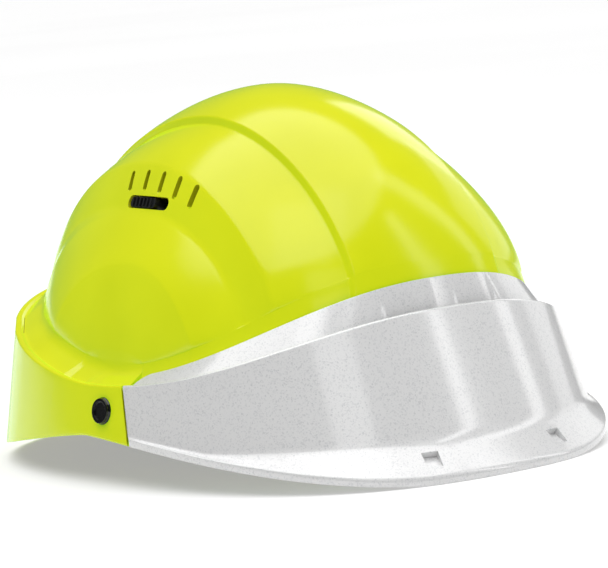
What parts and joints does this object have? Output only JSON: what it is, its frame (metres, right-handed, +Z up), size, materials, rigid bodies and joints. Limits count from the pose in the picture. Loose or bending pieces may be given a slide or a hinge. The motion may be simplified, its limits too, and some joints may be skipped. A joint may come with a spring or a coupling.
{
  "type": "safety helmet",
  "caption": "Ventilated hard hat with a stepped shell, separate front peak, sliding side vents and a textile cradle with a ratchet headband.",
  "frame": {"origin": "centre of the helmet's box, on the surface it rests on", "axes": "+X to the wearer's left, -Y to the front, +Z up; the rim's front and nape both stand at Z = 0"},
  "size_m": [0.2166, 0.292, 0.156],
  "materials": {
    "shell_plastic": "injection-moulded fluorescent yellow ABS, glossy",
    "peak_plastic": "white moulded plastic with a fine sparkling grain",
    "black_plastic": "moulded black nylon",
    "grey_plastic": "moulded dark grey polyethylene",
    "webbing": "woven polyester webbing",
    "pad_fabric": "perforated foam-backed sweatband fabric",
    "spring_steel": "spring steel strip and plated screws"
  },
  "bodies": {
    "helmet": {"shell": "shell_plastic", "front_peak": "peak_plastic", "peak_plug_left": "black_plastic", "peak_plug_right": "black_plastic", "peak_clip_left": "grey_plastic", "peak_clip_right": "grey_plastic", "vent_guide_left": "grey_plastic", "vent_guide_right": "grey_plastic", "headband": "grey_plastic", "sweatband": "pad_fabric", "ratchet_housing": "black_plastic", "ratchet_cover": "black_plastic", "ratchet_spring": "spring_steel", "ratchet_screws": "spring_steel", "nape_pad": "pad_fabric", "crown_strap_cross": "webbing", "crown_strap_left": "webbing", "crown_strap_right": "webbing", "crown_pad": "pad_fabric", "strap_key_front_left": "black_plastic", "strap_key_front_right": "black_plastic", "strap_key_side_left": "black_plastic", "strap_key_side_right": "black_plastic", "strap_key_rear_left": "black_plastic", "strap_key_rear_right": "black_plastic"},
    "vent_slider_left": {"vent_shutter_left": "black_plastic", "vent_knob_left": "black_plastic"},
    "vent_slider_right": {"vent_shutter_right": "black_plastic", "vent_knob_right": "black_plastic"},
    "tail_left": {"nape_tail_left": "grey_plastic"},
    "tail_right": {"nape_tail_right": "grey_plastic"},
    "ratchet_dial": {"ratchet_knob": "black_plastic", "ratchet_pinion": "peak_plastic"}
  },
  "joints": [
    {"name": "vent_slide_left", "type": "slide", "parent": "helmet", "child": "vent_slider_left", "axis": [0.0837, -0.9965, 0], "range_m": [0, 0.009]},
    {"name": "vent_slide_right", "type": "slide", "parent": "helmet", "child": "vent_slider_right", "axis": [-0.0837, -0.9965, 0], "range_m": [0, 0.009]},
    {"name": "ratchet_turn", "type": "hinge", "parent": "helmet", "child": "ratchet_dial", "pos_m": [0, 0.111, 0.035], "axis": [0, 1, 0], "range_deg": [-80, 80]},
    {"name": "tail_slide_left", "type": "hinge", "parent": "helmet", "child": "tail_left", "pos_m": [0, 0.03, 0.035], "axis": [0, 0, 1], "range_deg": [-6.5, 6.5]},
    {"name": "tail_slide_right", "type": "hinge", "parent": "helmet", "child": "tail_right", "pos_m": [0, 0.03, 0.035], "axis": [0, 0, 1], "range_deg": [-6.5, 6.5]}
  ],
  "couplings": [
    {"joint": "tail_slide_left", "follows": "ratchet_turn", "ratio": -0.074074},
    {"joint": "tail_slide_right", "follows": "ratchet_turn", "ratio": 0.074074}
  ]
}
